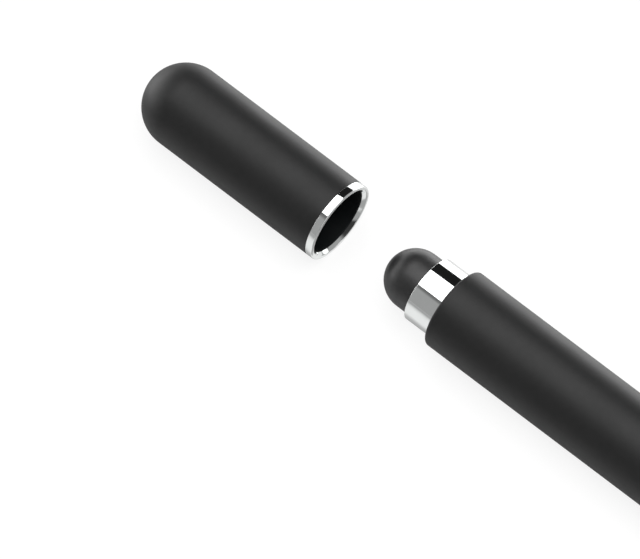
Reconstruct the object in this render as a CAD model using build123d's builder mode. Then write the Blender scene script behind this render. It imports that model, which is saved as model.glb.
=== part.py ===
"""Two-ended stylus pen: a rubber touch tip under the front cap and a clear disc nib under the rear cap.

The pen's axis is X, with the touch tip towards -X and +Z up. The origin is on the axis, halfway along
the barrel. The front cap is pulled off and lies in line with the pen, and the rear cap is closed. All
sizes are in millimetres.
"""

import os
from math import sqrt

from build123d import *

# Pen body
pen_diameter = 9.0
barrel_length = 100.0
barrel_edge_round = 0.3
bore_chamfer = 0.12
glue_gap = 0.02

# Caps
cap_straight = 20.45
cap_wall = 0.43
ring_band = 0.82
ring_lip_depth = 0.4
ring_cover_share = 0.75
ring_lip_share = 0.42
liner_wall = 0.3
liner_floor = 0.6
liner_end_gap = 0.5
liner_floor_round = 0.4
front_cap_gap = 14.8
rear_cap_gap = 0.08

# Collars
collar_clearance = 0.075
collar_exposed = 3.28
collar_seat = 1.5
collar_lip = 0.42
collar_web = 1.0
collar_edge_round = 0.12

# Magnets and seals behind the collars
magnet_thickness = 1.3
magnet_chamfer = 0.1
seal_section = 0.76
seal_clearance = 0.04

# Threads of the tip and the nib, and the bushes that take them: the bush's wall leaves room for the thread
insert_wall = 1.73
thread_pitch = 0.7
thread_depth = 0.32
thread_crest = 0.12
thread_root_sink = 0.12
thread_root_gap = 0.24
thread_engagement = 4.2
thread_clearance = 0.05
stud_lead = 0.6
insert_length = 6.0
insert_chamfer = 0.3

# Touch tip
dome_clearance = 0.03
dome_skirt = 1.6
dome_wall = 0.8
bead_width = 0.7
bead_height = 0.7
barb_length = 1.4
barb_chamfer = 0.4

# Disc nib
cone_step = 0.25
cone_length = 4.2
nose_wall = 0.45
needle_diameter = 0.84
needle_seat = 3.0
needle_reach = 3.4
ball_diameter = 2.0
ball_clearance = 0.06
socket_grip = 0.55
socket_wall = 0.65
disc_room = 0.6
disc_thickness = 0.7
disc_boss_share = 0.42
disc_boss_setback = 0.2
disc_edge_round = 0.15

# Radii, from the outside in: the cap's liner and the barrel's bore take the same collar
pen_radius = pen_diameter / 2
cap_inner_radius = pen_radius - cap_wall
liner_radius = cap_inner_radius - glue_gap
bore_radius = liner_radius - liner_wall
collar_radius = bore_radius - collar_clearance
pocket_radius = collar_radius - collar_lip
shank_radius = bore_radius - glue_gap - insert_wall
thread_radius = shank_radius - thread_clearance
thread_root_radius = thread_radius - thread_depth

# Liner, measured inward from the cap's mouth: its edge seats on the ring's lip, and its end stops short of
# the shell's round end
liner_setback = ring_lip_depth + glue_gap
liner_end = cap_straight - liner_end_gap
liner_depth = liner_end - liner_floor

# Places along each end, measured outward from the end face of the barrel
magnet_seat = glue_gap + magnet_thickness - collar_seat
pocket_floor = magnet_seat + collar_web
insert_face = -collar_seat - seal_section - seal_clearance
stud_end = insert_face - thread_engagement


def end_plane(side, outward):
    """Plane through the axis, with local X outward from one end of the barrel and local Y the radius."""
    origin = (side * (barrel_length / 2 + outward), 0, 0)
    return Plane(origin=origin, x_dir=(side, 0, 0), z_dir=(0, -side, 0))


def write(piece, name):
    """Labels a finished piece and writes its file."""
    piece.part.label = name
    export_step(piece.part, f"parts/{name}.step")


def circles(piece, rank):
    """Circular edges of a turned piece, with rank 0 the smallest radius and -1 the largest."""
    return piece.edges().filter_by(GeomType.CIRCLE).group_by(SortBy.RADIUS)[rank]


os.makedirs("parts", exist_ok=True)

# Barrel: drawn aluminium tube
with BuildPart() as barrel_tube:
    with BuildSketch(Plane.XZ):
        with BuildLine():
            Polyline(
                (-barrel_length / 2, bore_radius),
                (-barrel_length / 2, pen_radius),
                (barrel_length / 2, pen_radius),
                (barrel_length / 2, bore_radius),
                close=True,
            )
        make_face()
    revolve(axis=Axis.X)
    chamfer(circles(barrel_tube, 0), length=bore_chamfer)
    fillet(circles(barrel_tube, -1), radius=barrel_edge_round)
write(barrel_tube, "barrel_tube")

for end, side, cap_gap in (("front", -1, front_cap_gap), ("rear", 1, rear_cap_gap)):
    # Threaded brass bush, bonded into the barrel behind the collar's seat
    with BuildPart() as insert:
        with BuildSketch(end_plane(side, insert_face)):
            with BuildLine():
                Polyline(
                    (0, shank_radius),
                    (0, bore_radius - glue_gap),
                    (-insert_length, bore_radius - glue_gap),
                    (-insert_length, shank_radius),
                    close=True,
                )
            make_face()
        revolve(axis=Axis.X)
        chamfer(circles(insert, 0), length=insert_chamfer)
    write(insert, f"{end}_insert")

    # Cap shell: drawn aluminium tube with a hemispherical end, measured inward from the cap's mouth
    mouth_plane = end_plane(side, cap_gap)
    with BuildPart() as cap_shell:
        with BuildSketch(mouth_plane):
            with BuildLine():
                Polyline(
                    (cap_straight, cap_inner_radius),
                    (ring_band, cap_inner_radius),
                    (ring_band, pen_radius),
                    (cap_straight, pen_radius),
                )
                CenterArc((cap_straight, 0), pen_radius, 90, -90)
                Line((cap_straight + pen_radius, 0), (cap_straight + cap_inner_radius, 0))
                CenterArc((cap_straight, 0), cap_inner_radius, 0, 90)
            make_face()
        revolve(axis=Axis.X)
    write(cap_shell, f"{end}_cap_shell")

    # Trim ring: plated steel band, butted on the shell, whose bevelled lip covers most of the liner's edge
    lip_radius = liner_radius - liner_wall * ring_cover_share
    with BuildPart() as cap_ring:
        with BuildSketch(mouth_plane) as ring_section:
            with BuildLine():
                Polyline(
                    (0, cap_inner_radius),
                    (0, pen_radius),
                    (ring_band, pen_radius),
                    (ring_band, cap_inner_radius),
                    (ring_lip_depth, cap_inner_radius),
                    (ring_lip_depth, lip_radius),
                    close=True,
                )
            make_face()
            fillet(ring_section.vertices().group_by(Axis.X)[0], radius=cap_wall * ring_lip_share)
        revolve(axis=Axis.X)
    write(cap_ring, f"{end}_cap_ring")

    # Liner: black plastic cup bonded into the ring and the shell, with its edge behind the ring's lip
    with BuildPart() as cap_liner:
        with BuildSketch(mouth_plane):
            with BuildLine():
                Polyline(
                    (liner_setback + bore_chamfer, bore_radius),
                    (liner_setback, bore_radius + bore_chamfer),
                    (liner_setback, liner_radius),
                    (liner_end, liner_radius),
                    (liner_end, 0),
                    (liner_depth, 0),
                    (liner_depth, bore_radius - liner_floor_round),
                )
                RadiusArc(
                    (liner_depth, bore_radius - liner_floor_round),
                    (liner_depth - liner_floor_round, bore_radius),
                    -liner_floor_round,
                )
                Line(
                    (liner_depth - liner_floor_round, bore_radius),
                    (liner_setback + bore_chamfer, bore_radius),
                )
            make_face()
        revolve(axis=Axis.X)
    write(cap_liner, f"{end}_cap_liner")

for end, side in (("tip", -1), ("nib", 1)):
    collar_plane = end_plane(side, 0)

    # Collar: turned and plated steel, with a front pocket for the working end and a rear one for the magnet
    with BuildPart() as collar:
        with BuildSketch(collar_plane):
            with BuildLine():
                Polyline(
                    (-collar_seat, pocket_radius),
                    (-collar_seat, collar_radius),
                    (collar_exposed, collar_radius),
                    (collar_exposed, pocket_radius),
                    (pocket_floor, pocket_radius),
                    (pocket_floor, shank_radius + glue_gap),
                    (magnet_seat, shank_radius + glue_gap),
                    (magnet_seat, pocket_radius),
                    close=True,
                )
            make_face()
        revolve(axis=Axis.X)
        fillet(circles(collar, -1), radius=collar_edge_round)
    write(collar, f"{end}_collar")

    # Ring magnet round the shank, in the back of the collar
    with BuildPart() as magnet:
        with BuildSketch(collar_plane) as magnet_section:
            with BuildLine():
                Polyline(
                    (magnet_seat - glue_gap, shank_radius + glue_gap),
                    (magnet_seat - glue_gap, pocket_radius - glue_gap),
                    (-collar_seat, pocket_radius - glue_gap),
                    (-collar_seat, shank_radius + glue_gap),
                    close=True,
                )
            make_face()
            chamfer(magnet_section.vertices(), length=magnet_chamfer)
        revolve(axis=Axis.X)
    write(magnet, f"{end}_magnet")

    # Rubber O-ring between the collar and the bush
    with BuildPart() as o_ring:
        with BuildSketch(collar_plane):
            seal_centre = -collar_seat - (seal_section + seal_clearance) / 2
            with Locations((seal_centre, bore_radius - seal_clearance - seal_section / 2)):
                Circle(seal_section / 2)
        revolve(axis=Axis.X)
    write(o_ring, f"{end}_o_ring")

# Touch tip: moulded rubber dome whose inner bead buttons over the core
dome_radius = pocket_radius - dome_clearance
cavity_radius = dome_radius - dome_wall
dome_centre = collar_exposed + dome_skirt
dome_foot = pocket_floor + glue_gap
bead_end = dome_foot + bead_width
bead_radius = cavity_radius - bead_height
with BuildPart() as touch_tip:
    with BuildSketch(end_plane(-1, 0)):
        with BuildLine():
            Polyline(
                (dome_centre, cavity_radius),
                (bead_end, cavity_radius),
                (bead_end, bead_radius),
                (dome_foot, bead_radius),
                (dome_foot, dome_radius),
                (dome_centre, dome_radius),
            )
            CenterArc((dome_centre, 0), dome_radius, 90, -90)
            Line((dome_centre + dome_radius, 0), (dome_centre + cavity_radius, 0))
            CenterArc((dome_centre, 0), cavity_radius, 0, 90)
        make_face()
    revolve(axis=Axis.X)
write(touch_tip, "touch_tip")

# Turned brass core of the touch tip and plated holder of the disc nib, each with the same threaded stud.
# The core's barb and neck hold the dome, and the holder's flange and cone carry the needle.
neck_radius = bead_radius - glue_gap
barb_radius = cavity_radius - glue_gap
barb_foot = bead_end + glue_gap
barb_end = barb_foot + barb_length
core_outline = (
    (pocket_floor, shank_radius),
    (pocket_floor, neck_radius),
    (barb_foot, neck_radius),
    (barb_foot, barb_radius),
    (barb_end - barb_chamfer, barb_radius),
    (barb_end, barb_radius - barb_chamfer),
    (barb_end, 0),
)
needle_radius = needle_diameter / 2
nose = collar_exposed + cone_length
needle_foot = nose - needle_seat
holder_outline = (
    (dome_foot, shank_radius),
    (dome_foot, dome_radius),
    (collar_exposed, dome_radius),
    (collar_exposed, dome_radius - cone_step),
    (nose, needle_radius + nose_wall),
    (nose, needle_radius + glue_gap),
    (needle_foot, needle_radius + glue_gap),
    (needle_foot, 0),
)
for name, side, outline in (("tip_core", -1, core_outline), ("nib_holder", 1, holder_outline)):
    with BuildPart() as stud:
        with BuildSketch(end_plane(side, 0)):
            with BuildLine():
                Polyline(
                    (stud_end, 0),
                    (stud_end, thread_root_radius),
                    (-collar_seat, thread_root_radius),
                    (-collar_seat, shank_radius),
                    *outline,
                    close=True,
                )
            make_face()
        revolve(axis=Axis.X)
        thread_start = Vector(side * (barrel_length / 2 + stud_end + stud_lead), 0, 0)
        with BuildLine():
            ridge = Helix(
                pitch=thread_pitch,
                height=thread_engagement - stud_lead,
                radius=thread_root_radius,
                center=thread_start,
                direction=(side, 0, 0),
            )
        with BuildSketch(Plane(origin=ridge @ 0, x_dir=(ridge @ 0) - thread_start, z_dir=ridge % 0)):
            with BuildLine():
                Polyline(
                    (-thread_root_sink, (thread_root_gap - thread_pitch) / 2),
                    (thread_depth, -thread_crest / 2),
                    (thread_depth, thread_crest / 2),
                    (-thread_root_sink, (thread_pitch - thread_root_gap) / 2),
                    close=True,
                )
            make_face()
        sweep(path=ridge, is_frenet=True)
    write(stud, name)

# Needle: steel pin, seated in the holder, with a ball at its end
ball_radius = ball_diameter / 2
ball_centre = nose + needle_reach
nib_plane = end_plane(1, 0)
with BuildPart() as nib_needle:
    with BuildSketch(nib_plane):
        with BuildLine():
            Polyline(
                (ball_centre - sqrt(ball_radius**2 - needle_radius**2), needle_radius),
                (needle_foot + glue_gap, needle_radius),
                (needle_foot + glue_gap, 0),
                (ball_centre + ball_radius, 0),
            )
            ThreePointArc(
                (ball_centre + ball_radius, 0),
                (ball_centre, ball_radius),
                (ball_centre - sqrt(ball_radius**2 - needle_radius**2), needle_radius),
            )
        make_face()
    revolve(axis=Axis.X)
write(nib_needle, "nib_needle")

# Socket: turned metal ring that snaps over the ball and leaves it free to swivel
socket_cavity = ball_radius + ball_clearance
socket_radius = socket_cavity + socket_wall
socket_back = ball_centre - socket_grip
socket_front = ball_centre + socket_cavity
mouth_radius = sqrt(socket_cavity**2 - socket_grip**2)
with BuildPart() as disc_socket:
    with BuildSketch(nib_plane):
        with BuildLine():
            ThreePointArc(
                (socket_back, mouth_radius),
                (ball_centre, socket_cavity),
                (ball_centre + socket_grip, mouth_radius),
            )
            Polyline(
                (ball_centre + socket_grip, mouth_radius),
                (socket_front, mouth_radius),
                (socket_front, socket_radius),
                (socket_back, socket_radius),
                (socket_back, mouth_radius),
            )
        make_face()
    revolve(axis=Axis.X)
write(disc_socket, "disc_socket")

# Disc: clear plastic plate with a boss that holds the socket
disc_radius = bore_radius - disc_room
disc_front = socket_front + disc_thickness
boss_bore = socket_radius + glue_gap
boss_radius = boss_bore + (disc_radius - boss_bore) * disc_boss_share
with BuildPart() as nib_disc:
    with BuildSketch(nib_plane):
        with BuildLine():
            Polyline(
                (socket_back + disc_boss_setback, boss_bore),
                (socket_back + disc_boss_setback, boss_radius),
                (socket_front, boss_radius),
                (socket_front, disc_radius),
                (disc_front, disc_radius),
                (disc_front, 0),
                (socket_front, 0),
                (socket_front, boss_bore),
                close=True,
            )
        make_face()
    revolve(axis=Axis.X)
    fillet(circles(nib_disc, -1), radius=disc_edge_round)
write(nib_disc, "nib_disc")
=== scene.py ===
"""Looks of the stylus pen: its pieces with their finishes, on a white table under one large soft light.

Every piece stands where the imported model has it, in metres, with the pen's axis on X and its touch tip
towards -X.
"""

from math import acos, asin, cos, pi, radians, sin

import bmesh
import bpy
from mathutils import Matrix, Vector


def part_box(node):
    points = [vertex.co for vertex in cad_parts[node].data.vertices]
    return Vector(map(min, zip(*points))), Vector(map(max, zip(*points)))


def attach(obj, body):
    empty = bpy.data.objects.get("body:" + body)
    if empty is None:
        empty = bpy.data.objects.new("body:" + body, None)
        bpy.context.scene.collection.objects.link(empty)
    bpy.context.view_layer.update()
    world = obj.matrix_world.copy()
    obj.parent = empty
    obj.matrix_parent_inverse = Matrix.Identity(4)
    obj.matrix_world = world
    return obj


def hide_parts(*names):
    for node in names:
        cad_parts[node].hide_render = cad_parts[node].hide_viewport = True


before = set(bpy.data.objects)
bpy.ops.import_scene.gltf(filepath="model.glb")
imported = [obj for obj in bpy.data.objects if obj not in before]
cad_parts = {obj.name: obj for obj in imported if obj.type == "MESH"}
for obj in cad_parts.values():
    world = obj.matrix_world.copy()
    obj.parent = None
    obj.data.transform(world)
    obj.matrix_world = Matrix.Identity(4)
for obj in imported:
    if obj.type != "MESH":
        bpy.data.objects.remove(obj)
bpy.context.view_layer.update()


# Barrel: a drawn aluminium tube with a satin black coat. Both ends are faced square, their outer edges are
# rolled over softly, and the bore is chamfered so that the collars slip in.
barrel_low, barrel_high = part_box("barrel_tube")
barrel_wall = 0.00075
barrel_edge_round = 0.0003
bore_edge_round = 0.00012
pen_radius = barrel_high.z
bore_radius = pen_radius - barrel_wall


def add(tree, kind, inputs=(), **settings):
    """Adds a node to a tree and returns it. Each input is a plain value or the output that feeds it."""
    node = tree.nodes.new(kind)
    for name, value in settings.items():
        setattr(node, name, value)
    for socket, value in dict(inputs).items():
        if isinstance(value, bpy.types.NodeSocket):
            tree.links.new(value, node.inputs[socket])
        else:
            node.inputs[socket].default_value = value
    return node


def maths(tree, operation, first, second=0.0, third=0.0):
    """Output of a maths node."""
    return add(tree, "ShaderNodeMath", {0: first, 1: second, 2: third}, operation=operation).outputs[0]


def whole_maths(tree, operation, first, second):
    """Output of a maths node for whole numbers."""
    return add(tree, "FunctionNodeIntegerMath", {0: first, 1: second}, operation=operation).outputs[0]


def turning_tree(weld_distance=1e-7):
    """Geometry tree that spins a half section about X, as a lathe turns a bar to a template.

    The section is a line of points in the XZ plane, which carry how far each corner is rounded.
    """
    tree = bpy.data.node_groups.new("Turned piece", "GeometryNodeTree")
    inputs = {"Half section": "Geometry", "Sides": "Int", "Sharp angle": "Float", "Finish": "Material"}
    for name, kind in inputs.items():
        tree.interface.new_socket(name, in_out="INPUT", socket_type="NodeSocket" + kind)
    tree.interface.new_socket("Turned piece", in_out="OUTPUT", socket_type="NodeSocketGeometry")
    given = add(tree, "NodeGroupInput").outputs

    corner_round = add(tree, "GeometryNodeInputNamedAttribute", {"Name": "corner_round"}, data_type="FLOAT")
    arc_steps = add(tree, "GeometryNodeInputNamedAttribute", {"Name": "arc_steps"}, data_type="INT")
    line = add(tree, "GeometryNodeMeshToCurve", {"Mesh": given["Half section"]})
    template = add(tree, "GeometryNodeFilletCurve", {
        "Curve": line.outputs["Curve"], "Count": arc_steps.outputs["Attribute"],
        "Radius": corner_round.outputs["Attribute"], "Limit Radius": True}, mode="POLY").outputs["Curve"]
    size = add(tree, "GeometryNodeAttributeDomainSize", {"Geometry": template}, component="CURVE")
    points = size.outputs["Point Count"]
    cyclic = add(tree, "GeometryNodeInputSplineCyclic").outputs["Cyclic"]
    closed = add(tree, "GeometryNodeSampleIndex", {"Geometry": template, "Value": cyclic, "Index": 0},
                 data_type="INT", domain="CURVE").outputs["Value"]

    columns = whole_maths(tree, "ADD", points, closed)
    rows = whole_maths(tree, "ADD", given["Sides"], 1)
    sheet = add(tree, "GeometryNodeMeshGrid", {"Vertices X": columns, "Vertices Y": rows}).outputs["Mesh"]
    index = add(tree, "GeometryNodeInputIndex").outputs["Index"]
    column = whole_maths(tree, "DIVIDE_FLOOR", index, rows)
    row = whole_maths(tree, "FLOORED_MODULO", index, rows)
    place = whole_maths(tree, "FLOORED_MODULO", column, points)
    position = add(tree, "GeometryNodeInputPosition").outputs["Position"]
    at = add(tree, "GeometryNodeSampleIndex", {"Geometry": template, "Value": position, "Index": place},
             data_type="FLOAT_VECTOR", domain="POINT").outputs["Value"]

    part = add(tree, "ShaderNodeSeparateXYZ", {"Vector": at}).outputs
    angle = maths(tree, "MULTIPLY", row, maths(tree, "DIVIDE", 2 * pi, given["Sides"]))
    turned_at = add(tree, "ShaderNodeCombineXYZ", {
        "X": part["X"],
        "Y": maths(tree, "MULTIPLY", part["Z"], maths(tree, "SINE", angle)),
        "Z": maths(tree, "MULTIPLY", part["Z"], maths(tree, "COSINE", angle))})
    spun = add(tree, "GeometryNodeSetPosition", {
        "Geometry": sheet, "Position": turned_at.outputs["Vector"]})
    sewn = add(tree, "GeometryNodeMergeByDistance", {
        "Geometry": spun.outputs["Geometry"], "Distance": weld_distance})

    smooth = add(tree, "GeometryNodeSetShadeSmooth", {
        "Geometry": sewn.outputs["Geometry"], "Shade Smooth": True}, domain="FACE")
    bend = add(tree, "GeometryNodeInputMeshEdgeAngle").outputs["Unsigned Angle"]
    edged = add(tree, "GeometryNodeSetShadeSmooth", {
        "Geometry": smooth.outputs["Geometry"], "Shade Smooth": False,
        "Selection": maths(tree, "GREATER_THAN", bend, given["Sharp angle"])}, domain="EDGE")
    real = add(tree, "GeometryNodeRealizeInstances", {"Geometry": edged.outputs["Geometry"]})
    dressed = add(tree, "GeometryNodeSetMaterial", {
        "Geometry": real.outputs["Geometry"], "Material": given["Finish"]})
    add(tree, "NodeGroupOutput", {"Turned piece": dressed.outputs["Geometry"]})
    return tree


turning = turning_tree()


def plain_mesh(piece):
    """Takes what the piece's modifiers make as its own mesh, and removes them."""
    evaluated = piece.evaluated_get(bpy.context.evaluated_depsgraph_get())
    piece.data = bpy.data.meshes.new_from_object(evaluated)
    piece.modifiers.clear()


def turned(name, half_section, finish, sides=256, sharp_angle=radians(40), fewest_steps=7,
           steps_per_metre=11000):
    """Piece spun about the pen's axis from a half section of (along, radius, corner round) points.

    A section that starts and ends on the axis stays open, and any other closes on itself.
    """
    piece = bpy.data.objects.new(name, bpy.data.meshes.new(name))
    bpy.context.scene.collection.objects.link(piece)
    spans = [(i, i + 1) for i in range(len(half_section) - 1)]
    if half_section[0][1] > 0:
        spans.append((len(half_section) - 1, 0))
    piece.data.from_pydata([(along, 0, radius) for along, radius, _ in half_section], spans, [])
    corner_round = piece.data.attributes.new("corner_round", "FLOAT", "POINT")
    arc_steps = piece.data.attributes.new("arc_steps", "INT", "POINT")
    for i, (_, _, corner) in enumerate(half_section):
        corner_round.data[i].value = corner
        arc_steps.data[i].value = 1 if corner == 0 else fewest_steps + round(steps_per_metre * corner)

    spin = piece.modifiers.new("Turned piece", "NODES")
    spin.node_group = turning
    settings = {"Sides": sides, "Sharp angle": sharp_angle, "Finish": finish}
    for socket in turning.interface.items_tree:
        if socket.name in settings:
            spin[socket.identifier] = settings[socket.name]
    plain_mesh(piece)
    surface = bmesh.new()
    surface.from_mesh(piece.data)
    bmesh.ops.recalc_face_normals(surface, faces=surface.faces)
    surface.to_mesh(piece.data)
    surface.free()

    level = piece.modifiers.new("Level normals", "WEIGHTED_NORMAL")
    level.keep_sharp = True
    level.weight = 100
    plain_mesh(piece)
    piece.data.name = name
    return piece


def new_finish(name, even):
    """Material with one Principled shader. What is even all over is set on the shader's own sockets."""
    material = bpy.data.materials.new(name)
    material.use_nodes = True
    shader = material.node_tree.nodes["Principled BSDF"]
    for socket, value in even.items():
        shader.inputs[socket].default_value = value
    return material, material.node_tree, shader


def cover(tree, shader, colour, roughness, grain):
    """Feeds a Principled shader with what varies over the piece."""
    for socket, pattern in (("Base Color", colour), ("Roughness", roughness), ("Normal", grain)):
        tree.links.new(pattern, shader.inputs[socket])


def cloud(tree, size, detail=2.0):
    """Soft random pattern on the piece's own coordinates, whose blotches are about size metres wide."""
    here = add(tree, "ShaderNodeTexCoord").outputs["Object"]
    noise = add(tree, "ShaderNodeTexNoise", {"Vector": here, "Scale": 1 / size, "Detail": detail})
    return noise.outputs["Fac"]


def spread(tree, pattern, low, high, usual_low=0.3, usual_high=0.7):
    """Turns a pattern's usual range into a range of values from low to high."""
    return add(tree, "ShaderNodeMapRange", {
        "Value": pattern, "From Min": usual_low, "From Max": usual_high,
        "To Min": low, "To Max": high}).outputs["Result"]


def shade(tree, pattern, dark, light):
    """Mixes two colours by a pattern."""
    share = spread(tree, pattern, low=0.0, high=1.0)
    return add(tree, "ShaderNodeMix", {0: share, 6: (*dark, 1), 7: (*light, 1)}, data_type="RGBA").outputs[2]


def relief(tree, pattern, depth, strength):
    """Raises a pattern on the surface by depth metres."""
    return add(tree, "ShaderNodeBump", {
        "Height": pattern, "Distance": depth, "Strength": strength}).outputs["Normal"]


satin_black, tree, coat = new_finish("satin_black", {"IOR": 1.41})
cover(
    tree, coat,
    colour=shade(tree, cloud(tree, size=0.0007),
                 dark=(0.0045, 0.0045, 0.0046), light=(0.0065, 0.0065, 0.0066)),
    roughness=spread(tree, cloud(tree, size=0.004, detail=4.0), low=0.49, high=0.53),
    grain=relief(tree, cloud(tree, size=0.00007), depth=0.000003, strength=0.1),
)

barrel = turned("barrel", (
    (barrel_low.x, bore_radius, bore_edge_round),
    (barrel_low.x, pen_radius, barrel_edge_round),
    (barrel_high.x, pen_radius, barrel_edge_round),
    (barrel_high.x, bore_radius, bore_edge_round),
), satin_black)
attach(barrel, "barrel")
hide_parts("barrel_tube")


# Cap shells: drawn aluminium cups with a hemispherical end and the barrel's satin black coat. The trim ring
# is pressed and bonded on their open end, flush with the coat.
shell_wall = 0.00043
shell_brim_round = 0.00002
shell_bore = pen_radius - shell_wall
for end, side in (("front", -1), ("rear", 1)):
    low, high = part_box(f"{end}_cap_shell")
    tip, brim = (low.x, high.x) if side < 0 else (high.x, low.x)
    shell = turned(f"{end}_cap_cup", (
        (tip - side * shell_wall, 0, 0),
        (tip - side * shell_wall, shell_bore, shell_bore),
        (brim, shell_bore, 0),
        (brim, pen_radius, shell_brim_round),
        (tip, pen_radius, pen_radius),
        (tip, 0, 0),
    ), satin_black)
    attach(shell, f"{end}_cap")
    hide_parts(f"{end}_cap_shell")


# Trim rings: narrow bands of turned steel with bright plating, butted on the cap shells. A bevelled lip
# covers the liner's edge, and the lathe has left faint lines round them under the plating.
ring_lip_round = 0.00018
ring_lip_cover = 0.000225
ring_seat_gap = 0.00002
ring_back_round = 0.00003


def soft_edge(tree, value, start, end, low, high):
    """Passes softly from low to high as value goes from start to end."""
    return add(tree, "ShaderNodeMapRange", {
        "Value": value, "From Min": start, "From Max": end, "To Min": low, "To Max": high},
        interpolation_type="SMOOTHSTEP").outputs["Result"]


def place_on_piece(tree):
    """How far along the pen's axis a point of a piece lies, and how far from that axis."""
    here = add(tree, "ShaderNodeTexCoord").outputs["Object"]
    part = add(tree, "ShaderNodeSeparateXYZ", {"Vector": here}).outputs
    flat = add(tree, "ShaderNodeCombineXYZ", {"Y": part["Y"], "Z": part["Z"]}).outputs["Vector"]
    return part["X"], add(tree, "ShaderNodeVectorMath", {0: flat}, operation="LENGTH").outputs["Value"]


def lathe_lines(tree, pitch):
    """Fine uneven lines round the pen's axis, on straight stretches and on end faces alike."""
    along, radius = place_on_piece(tree)
    return add(tree, "ShaderNodeTexNoise", {
        "W": maths(tree, "ADD", along, radius), "Scale": 1 / pitch, "Detail": 3.0},
        noise_dimensions="1D").outputs["Fac"]


def bright_plating(name, bore, bore_fade=0.00003):
    """Polished plating, which stays a little duller within the bore's radius, where no wheel reaches."""
    finish, tree, plating = new_finish(name, {"Metallic": 1.0})
    _, radius = place_on_piece(tree)
    inside = soft_edge(tree, radius, bore, bore + bore_fade, 1, 0)
    polished = spread(tree, cloud(tree, size=0.0016, detail=4.0), low=0.035, high=0.06)
    bored = spread(tree, lathe_lines(tree, pitch=0.00005), low=0.06, high=0.1)
    cover(
        tree, plating,
        colour=shade(tree, cloud(tree, size=0.0012, detail=3.0),
                     dark=(0.85, 0.867, 0.861), light=(0.88, 0.897, 0.891)),
        roughness=add(tree, "ShaderNodeMix", {0: inside, 2: polished, 3: bored}).outputs[0],
        grain=relief(tree, lathe_lines(tree, pitch=0.00009), depth=0.0000002, strength=0.1),
    )
    return finish


ring_plating = bright_plating("ring_plating", bore=shell_bore - ring_lip_round / 3)

for end, side in (("front", -1), ("rear", 1)):
    low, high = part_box(f"{end}_cap_ring")
    liner_low, liner_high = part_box(f"{end}_cap_liner")
    mouth, back, liner_front = (high.x, low.x, liner_high.x) if side < 0 else (low.x, high.x, liner_low.x)
    lip_back = liner_front - side * ring_seat_gap
    ring = turned(f"{end}_trim_ring", (
        (mouth, shell_bore, ring_lip_round),
        (mouth, pen_radius, ring_lip_round),
        (back, pen_radius, ring_back_round),
        (back, shell_bore, ring_back_round),
        (lip_back, shell_bore, 0),
        (lip_back, liner_high.z - ring_lip_cover, 0),
    ), ring_plating)
    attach(ring, f"{end}_cap")
    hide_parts(f"{end}_cap_ring")


# Cap liners: black plastic cups, moulded and bonded into the shells, with the trim rings' lips over their
# edges. The collars slide into them, and each ends in a rounded floor.
liner_floor = 0.0006
liner_floor_round = 0.0004
liner_end_round = 0.00005
liner_front_round = 0.00003
black_liner, tree, plastic = new_finish("black_liner", {"IOR": 1.49, "Specular IOR Level": 0.2})
cover(
    tree, plastic,
    colour=shade(tree, cloud(tree, size=0.0009, detail=3.0),
                 dark=(0.0026, 0.004, 0.0045), light=(0.004, 0.0056, 0.0062)),
    roughness=spread(tree, cloud(tree, size=0.0015, detail=3.0), low=0.58, high=0.68),
    grain=relief(tree, cloud(tree, size=0.00012), depth=0.000004, strength=0.15),
)

for end, side in (("front", -1), ("rear", 1)):
    low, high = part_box(f"{end}_cap_liner")
    mouth, deep = (high.x, low.x) if side < 0 else (low.x, high.x)
    liner = turned(f"{end}_cap_lining", (
        (deep, 0, 0),
        (deep, high.z, liner_end_round),
        (mouth, high.z, liner_front_round),
        (mouth, bore_radius, bore_edge_round),
        (deep - side * liner_floor, bore_radius, liner_floor_round),
        (deep - side * liner_floor, 0, 0),
    ), black_liner)
    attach(liner, f"{end}_cap")
    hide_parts(f"{end}_cap_liner")


# Collars: turned steel rings with the same bright plating. The front pocket holds the rubber dome or the nib,
# the rear one holds the magnet, and the back end seats in the barrel's bore.
collar_lip = 0.00042
collar_edge_round = 0.0001
collar_lip_round = 0.00005
pocket_edge_round = 0.00005
pocket_dull_edge = 0.00003
magnet_pocket = 0.00132
collar_web = 0.001
shank_bore = 0.00202
tip_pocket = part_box("tip_collar")[1].z - collar_lip
collar_plating = bright_plating("collar_plating", bore=tip_pocket + pocket_dull_edge)
for end, side in (("tip", -1), ("nib", 1)):
    low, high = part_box(f"{end}_collar")
    face, seat = (low.x, high.x) if side < 0 else (high.x, low.x)
    pocket = high.z - collar_lip
    web_back = seat + side * magnet_pocket
    web_front = web_back + side * collar_web
    collar = turned(f"{end}_bright_collar", (
        (seat, pocket, pocket_edge_round),
        (seat, high.z, collar_edge_round),
        (face, high.z, collar_lip_round),
        (face, pocket, pocket_edge_round),
        (web_front, pocket, 0),
        (web_front, shank_bore, 0),
        (web_back, shank_bore, 0),
        (web_back, pocket, 0),
    ), collar_plating)
    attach(collar, end)
    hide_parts(f"{end}_collar")


# Touch tip: a thin dome of black conductive rubber, moulded in one piece and buttoned over the brass core by
# the bead at its foot. Its skirt stands in the collar's front pocket.
dome_wall = 0.0008
bead_width = 0.0007
bead_height = 0.0007
bead_round = 0.00005
dome_low, dome_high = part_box("touch_tip")
dome_apex, dome_foot = dome_low.x, dome_high.x
dome_radius = dome_high.z
hollow_radius = dome_radius - dome_wall
bead_radius = hollow_radius - bead_height
touch_rubber, tree, rubber = new_finish("touch_rubber", {"IOR": 1.48})
cover(
    tree, rubber,
    colour=shade(tree, cloud(tree, size=0.0005, detail=3.0),
                 dark=(0.010, 0.010, 0.0102), light=(0.015, 0.015, 0.0153)),
    roughness=spread(tree, cloud(tree, size=0.0012, detail=3.0), low=0.37, high=0.44),
    grain=relief(tree, cloud(tree, size=0.0001), depth=0.000004, strength=0.15),
)

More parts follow.
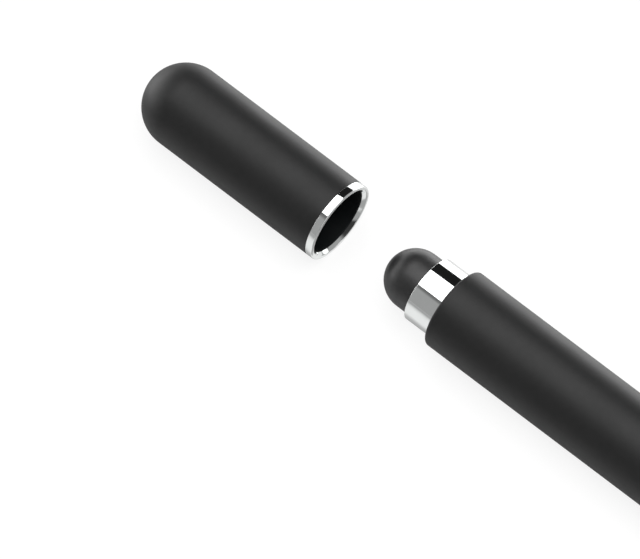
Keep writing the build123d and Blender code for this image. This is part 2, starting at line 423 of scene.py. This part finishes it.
dome = turned("rubber_dome", (
    (dome_apex, 0, 0),
    (dome_apex, dome_radius, dome_radius),
    (dome_foot, dome_radius, bead_round),
    (dome_foot, bead_radius, bead_round),
    (dome_foot - bead_width, bead_radius, bead_round),
    (dome_foot - bead_width, hollow_radius, 0),
    (dome_apex + dome_wall, hollow_radius, hollow_radius),
    (dome_apex + dome_wall, 0, 0),
), touch_rubber)
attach(dome, "tip")
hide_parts("touch_tip")


# Brass core and bushes: bars turned and threaded on a lathe. The core carries the dome and the tip's thread,
# and the bushes are bonded into the barrel's bore.
brass, tree, metal = new_finish("brass", {"Metallic": 1.0})
cover(
    tree, metal,
    colour=shade(tree, cloud(tree, size=0.0009, detail=3.0),
                 dark=(0.72, 0.53, 0.25), light=(0.8, 0.61, 0.31)),
    roughness=spread(tree, lathe_lines(tree, pitch=0.00005), low=0.22, high=0.36),
    grain=relief(tree, lathe_lines(tree, pitch=0.00008), depth=0.000002, strength=0.25),
)
for node in ("tip_core", "front_insert", "rear_insert"):
    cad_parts[node].data.materials[0] = brass


# Magnets: sintered rings with a dull nickel skin, bonded in the back of the collars. They pull on the steel
# trim rings and so hold the caps on.
magnet_nickel, tree, nickel = new_finish("magnet_nickel", {"Metallic": 1.0})
cover(
    tree, nickel,
    colour=shade(tree, cloud(tree, size=0.0004, detail=4.0),
                 dark=(0.58, 0.56, 0.52), light=(0.68, 0.66, 0.62)),
    roughness=spread(tree, cloud(tree, size=0.0003, detail=4.0), low=0.3, high=0.42),
    grain=relief(tree, cloud(tree, size=0.00008), depth=0.000004, strength=0.2),
)
for node in ("tip_magnet", "nib_magnet"):
    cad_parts[node].data.materials[0] = magnet_nickel


# O-rings: black seal rubber, moulded with a faint bloom. They lie between the collars and the bushes, and the
# tip and the nib are screwed down on them.
seal_rubber, tree, seal = new_finish("seal_rubber", {"IOR": 1.5})
cover(
    tree, seal,
    colour=shade(tree, cloud(tree, size=0.0004, detail=3.0),
                 dark=(0.016, 0.016, 0.016), light=(0.024, 0.024, 0.024)),
    roughness=spread(tree, cloud(tree, size=0.0003, detail=3.0), low=0.5, high=0.62),
    grain=relief(tree, cloud(tree, size=0.00009), depth=0.000003, strength=0.2),
)
for node in ("tip_o_ring", "nib_o_ring"):
    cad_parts[node].data.materials[0] = seal_rubber


# Nib holder: a turned steel cone with bright plating all over and the same thread as the tip. The needle is
# pressed into its nose.
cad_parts["nib_holder"].data.materials[0] = bright_plating("holder_plating", bore=0.0)


# Needle and socket: ground and turned steel. The needle ends in a ball, and the socket snaps over it and lets
# the disc swivel.
needle_radius = 0.00042
needle_edge_round = 0.00005
needle_sides = 96
socket_edge_round = 0.00006
socket_sides = 128
needle_steel, tree, steel = new_finish("needle_steel", {"Metallic": 1.0})
cover(
    tree, steel,
    colour=shade(tree, cloud(tree, size=0.0005, detail=3.0),
                 dark=(0.68, 0.68, 0.69), light=(0.75, 0.75, 0.76)),
    roughness=spread(tree, lathe_lines(tree, pitch=0.00004), low=0.14, high=0.26),
    grain=relief(tree, lathe_lines(tree, pitch=0.00005), depth=0.000001, strength=0.2),
)


def arc(centre, radius, start, end, steps=24):
    """Half section points on a circle about a point of the axis, from one angle to another."""
    angles = [start + (end - start) * i / steps for i in range(steps + 1)]
    return [(centre + radius * cos(angle), radius * sin(angle), 0) for angle in angles]


needle_low, needle_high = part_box("nib_needle")
ball_radius = needle_high.z
ball_centre = needle_high.x - ball_radius
neck = asin(needle_radius / ball_radius)
needle = turned("ball_needle", (
    (needle_low.x, 0, 0),
    (needle_low.x, needle_radius, needle_edge_round),
    *arc(ball_centre, ball_radius, pi - neck, 0),
), needle_steel, needle_sides)
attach(needle, "nib")
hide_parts("nib_needle")

socket_low, socket_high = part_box("disc_socket")
cavity = socket_high.x - ball_centre
grip = acos((ball_centre - socket_low.x) / cavity)
socket = turned("ball_socket", (
    *arc(ball_centre, cavity, pi - grip, grip),
    (socket_high.x, cavity * sin(grip), 0),
    (socket_high.x, socket_high.z, socket_edge_round),
    (socket_low.x, socket_high.z, socket_edge_round),
), needle_steel, socket_sides)
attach(socket, "disc")
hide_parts("disc_socket")


# Disc: a clear plastic plate, moulded with a boss that grips the socket. Its face has faint flow marks and
# the fine scuffs of use.
disc_edge_round = 0.00015
boss_edge_round = 0.0001
boss_gap = 0.00002
boss_share = 0.42
clear_plastic, tree, clear = new_finish("clear_plastic", {"IOR": 1.49, "Transmission Weight": 1.0})
cover(
    tree, clear,
    colour=shade(tree, cloud(tree, size=0.0015), dark=(0.9, 0.935, 0.945), light=(0.94, 0.965, 0.975)),
    roughness=spread(tree, cloud(tree, size=0.0004, detail=4.0), low=0.02, high=0.07),
    grain=relief(tree, cloud(tree, size=0.0008), depth=0.000004, strength=0.1),
)

disc_low, disc_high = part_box("nib_disc")
boss_bore = socket_high.z + boss_gap
boss_radius = boss_bore + (disc_high.z - boss_bore) * boss_share
disc = turned("clear_disc", (
    (disc_high.x, 0, 0),
    (disc_high.x, disc_high.z, disc_edge_round),
    (socket_high.x, disc_high.z, disc_edge_round),
    (socket_high.x, boss_radius, boss_edge_round),
    (disc_low.x, boss_radius, boss_edge_round),
    (disc_low.x, boss_bore, 0),
    (socket_high.x, boss_bore, 0),
    (socket_high.x, 0, 0),
), clear_plastic)
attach(disc, "disc")
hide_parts("nib_disc")


# Table: a white board that keeps a light shadow of the pen. Polished pieces see painted light on it: painted
# pools of light on its far and left parts, unless they look to the right, painted shade on its near part, a
# painted shadow along the pen, deepest in the gap before the cap's mouth, and a painted glow right under the
# mouth.
table_reach = 4.0
board_white = (0.74, 0.74, 0.74, 1)
seen_share, seen_level = 0.78, 1.09
# Levels and soft edges of the painted light and painted shade that only reflections see on the board.
mirrored_share, painted_shade_level, painted_light_level = 0.9, 0.35, 4.2
left_narrowing = -1.2
left_fade = (0.002, 0.02)
far_fade = (0.008, 0.022)
far_end_fade = (0.0, 0.03)
near_fade = (-0.01, -0.06)
right_fade = (-0.65, -0.48)
right_edge = (0.002, 0.005)
strip_shade, gap_shade = 0.65, 1.0
strip_fade = (0.0045, 0.008)
gap_start = (-0.0005, 0.0005)
gap_end = (0.005, 0.007)
painted_glow_level = 0.24
glow_start = (-0.0008, 0.0)
glow_end = (0.0012, 0.002)
cap_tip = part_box("front_cap_shell")[0].x
cap_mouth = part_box("front_cap_ring")[1].x


def soft_band(tree, value, start, end):
    """1 where value lies between a soft start and a soft end, and 0 beyond them."""
    return maths(tree, "MULTIPLY", soft_edge(tree, value, *start, 0, 1), soft_edge(tree, value, *end, 1, 0))


table_mesh = bpy.data.meshes.new("table")
table_mesh.from_pydata([(x * table_reach, y * table_reach, barrel_low.z)
                        for x, y in ((-1, -1), (1, -1), (1, 1), (-1, 1))], [], [(0, 1, 2, 3)])
table = bpy.data.objects.new("table", table_mesh)
bpy.context.scene.collection.objects.link(table)
white_board = bpy.data.materials.new("white_board")
white_board.use_nodes = True
tree = white_board.node_tree
tree.nodes.clear()

on_table = add(tree, "ShaderNodeTexCoord").outputs["Object"]
here = add(tree, "ShaderNodeSeparateXYZ", {"Vector": on_table}).outputs
aside = maths(tree, "ABSOLUTE", here["Y"])
past_tip = maths(tree, "SUBTRACT", cap_tip, here["X"])
past_mouth = maths(tree, "SUBTRACT", here["X"], cap_mouth)
# Painted pools of light on the board's left and far parts, seen only in reflections.
painted_light_left = soft_edge(tree, maths(tree, "MULTIPLY_ADD", aside, left_narrowing, past_tip), *left_fade, 0, 1)
painted_light_far = maths(tree, "MULTIPLY", soft_edge(tree, here["Y"], *far_fade, 0, 1),
                soft_edge(tree, past_tip, *far_end_fade, 1, 0))
# Painted glow on the board right under the cap's mouth, seen only in reflections.
under_mouth = soft_band(tree, past_mouth, glow_start, glow_end)
painted_glow_under_mouth = maths(tree, "MULTIPLY", under_mouth, soft_edge(tree, aside, *strip_fade, painted_glow_level, 0))
# Painted shadow along the pen, seen in reflections, deepest in the gap before the cap's mouth.
in_gap = soft_band(tree, past_mouth, gap_start, gap_end)
strip_level = maths(tree, "MULTIPLY_ADD", in_gap, gap_shade - strip_shade, strip_shade)
painted_shadow_strip = maths(tree, "MULTIPLY", soft_edge(tree, aside, *strip_fade, 1, 0), strip_level)
# Painted shade on the board's near part, seen in reflections.
painted_shade_near = soft_edge(tree, here["Y"], *near_fade, 0, 1)
# Painted shade for reflections that look to the right, on the board past the cap's mouth.
to_looker = add(tree, "ShaderNodeNewGeometry").outputs["Incoming"]
looker = add(tree, "ShaderNodeSeparateXYZ", {"Vector": to_looker}).outputs
painted_shade_to_right = maths(tree, "MULTIPLY", soft_edge(tree, looker["X"], *right_fade, 1, 0),
                 soft_edge(tree, past_mouth, *right_edge, 0, 1))
# All the painted light, and all the painted shade, that reflections see on the board.
painted_light_part = maths(tree, "MULTIPLY", maths(tree, "SUBTRACT", 1.0, painted_shade_to_right),
                 maths(tree, "MAXIMUM", maths(tree, "MAXIMUM", painted_light_left, painted_light_far), painted_glow_under_mouth))
painted_shade_part = maths(tree, "MAXIMUM", maths(tree, "MAXIMUM", painted_shade_near, painted_shadow_strip), painted_shade_to_right)
ray = add(tree, "ShaderNodeLightPath").outputs
seen = maths(tree, "MAXIMUM", ray["Is Camera Ray"], ray["Is Transmission Ray"])
mirrored = maths(tree, "MULTIPLY", ray["Is Glossy Ray"], maths(tree, "MAXIMUM", painted_light_part, painted_shade_part))
share = maths(tree, "ADD", maths(tree, "MULTIPLY", seen, seen_share),
              maths(tree, "MULTIPLY", mirrored, mirrored_share))
# Emission that reflections see: bright in the painted light, low in the painted shade.
mirrored_level = soft_edge(tree, painted_light_part, 0, 1, painted_shade_level, painted_light_level)
level = add(tree, "ShaderNodeMix", {0: seen, 2: mirrored_level, 3: seen_level}).outputs[0]
matt = add(tree, "ShaderNodeBsdfDiffuse", {"Color": board_white}).outputs["BSDF"]
bright = add(tree, "ShaderNodeEmission", {"Color": (1, 1, 1, 1), "Strength": level}).outputs["Emission"]
surface = add(tree, "ShaderNodeMixShader", {0: share, 1: matt, 2: bright}).outputs["Shader"]
add(tree, "ShaderNodeOutputMaterial", {"Surface": surface})
table.data.materials.append(white_board)


# Studio: one large softbox straight above the pen, a white sweep that rises behind it and higher at its left
# end, grey walls on the near side and at the right with a black flag between, and a dark room beyond. The
# camera sees plain white where the room would show.
softbox_light = 2.9
softbox_half = (0.7, 0.61)
softbox_fade = (0.04, 0.015)
softbox_shift = 0.095
lowest_height = 0.02
grey_wall, wall_top, dark_room = 0.36, 0.15, 0.012
wall_fade = (-0.91, -0.61)
room_fade = (-0.2, 0.2)
sweep_rise, sweep_foot = 0.107, 0.122
left_end_shift, left_end_rise, left_end_fall = 0.12, -0.66, -0.7
sweep_edge = (-0.024, 0.006)
paper_light, paper_left_light, paper_behind_light = 0.5, 2.5, 1.5
paper_left_spread = 0.85
paper_left_fade = (-0.1, 0.1)
paper_behind_fade = (0.1, 0.5)
paper_behind_end = (-0.6, -0.4)
right_start = (0.3, 0.4)
least_right = 0.1
black_flag, right_card = 0.04, 1.2
flag_near_edge = (-0.97, -0.8)
flag_far_edge = (-0.05, 0.5)
right_wall_end = (1.6, 2.2)
card_edge = (0.8, 0.92)
studio = bpy.data.worlds.new("studio")
bpy.context.scene.world = studio
studio.use_nodes = True
tree = studio.node_tree
tree.nodes.clear()

direction = add(tree, "ShaderNodeTexCoord").outputs["Generated"]
look = add(tree, "ShaderNodeSeparateXYZ", {"Vector": direction}).outputs
height = maths(tree, "MAXIMUM", look["Z"], lowest_height)
along = maths(tree, "ABSOLUTE", maths(tree, "DIVIDE", look["X"], height))
across = maths(tree, "DIVIDE", look["Y"], height)
from_middle = maths(tree, "ABSOLUTE", maths(tree, "SUBTRACT", across, softbox_shift))
panel_sides = [soft_edge(tree, reach, half - fade, half + fade, 1, 0)
               for reach, half, fade in zip((along, from_middle), softbox_half, softbox_fade)]
panel = maths(tree, "MULTIPLY", *panel_sides)

wall = soft_edge(tree, across, *wall_fade, grey_wall, wall_top)
room = soft_edge(tree, across, *room_fade, wall, dark_room)
sweep_behind = maths(tree, "MULTIPLY_ADD", look["Y"], sweep_rise, sweep_foot)
from_left = maths(tree, "ABSOLUTE", maths(tree, "ADD", look["Y"], left_end_shift))
left_fall = maths(tree, "MULTIPLY", from_left, left_end_fall)
sweep_left = maths(tree, "MULTIPLY_ADD", look["X"], left_end_rise, left_fall)
sweep_top = maths(tree, "MAXIMUM", sweep_behind, sweep_left)
to_left = maths(tree, "MULTIPLY_ADD", look["X"], paper_left_spread, from_left)
paper_left = soft_edge(tree, to_left, *paper_left_fade, 1, 0)
paper_behind = maths(tree, "MULTIPLY", soft_edge(tree, look["Y"], *paper_behind_fade, 0, 1),
                     soft_edge(tree, look["X"], *paper_behind_end, 0, 1))
paper = maths(tree, "ADD", maths(tree, "MULTIPLY_ADD", paper_left, paper_left_light, paper_light),
              maths(tree, "MULTIPLY", paper_behind, paper_behind_light))
sweep = soft_edge(tree, maths(tree, "SUBTRACT", look["Z"], sweep_top), *sweep_edge, paper, room)

turn = maths(tree, "DIVIDE", look["Y"], maths(tree, "MAXIMUM", look["X"], least_right))
flag = soft_edge(tree, turn, *flag_near_edge, grey_wall, black_flag)
right_wall = soft_edge(tree, turn, *flag_far_edge, flag, grey_wall)
right_corner = soft_edge(tree, turn, *right_wall_end, right_wall, sweep)
right_side = soft_edge(tree, look["X"], *card_edge, right_corner, right_card)
walls = soft_edge(tree, look["X"], *right_start, sweep, right_side)
glow = maths(tree, "MAXIMUM", walls, maths(tree, "MULTIPLY", panel, softbox_light))

ray = add(tree, "ShaderNodeLightPath").outputs
seen = maths(tree, "MAXIMUM", ray["Is Camera Ray"], ray["Is Transmission Ray"])
lit = add(tree, "ShaderNodeBackground", {"Color": (1, 1, 1, 1), "Strength": glow}).outputs["Background"]
plain = add(tree, "ShaderNodeBackground", {"Color": (1, 1, 1, 1), "Strength": 1.0}).outputs["Background"]
backdrop = add(tree, "ShaderNodeMixShader", {0: seen, 1: lit, 2: plain}).outputs["Shader"]
add(tree, "ShaderNodeOutputWorld", {"Surface": backdrop})


# Camera: a long lens high above the table, in front of the pen's near side, so that the pen slants down to
# the right with its tip below the cap's mouth.
view_from = Vector((0.3053, -0.3573, 0.8827)).normalized()
aim_before_barrel, aim_aside = 0.012217, -0.006184
view_centre = Vector((barrel_low.x - aim_before_barrel, aim_aside, 0))
view_distance = 2.4961
camera = bpy.data.objects.new("camera", bpy.data.cameras.new("camera"))
bpy.context.scene.collection.objects.link(camera)
camera.data.lens = 1400
camera.data.sensor_width = 36
camera.data.clip_end = 20
camera.location = view_centre + view_from * view_distance
camera.rotation_mode = "QUATERNION"
camera.rotation_quaternion = (-view_from).to_track_quat("-Z", "Y")
bpy.context.scene.camera = camera
bpy.context.scene.view_settings.view_transform = "Standard"
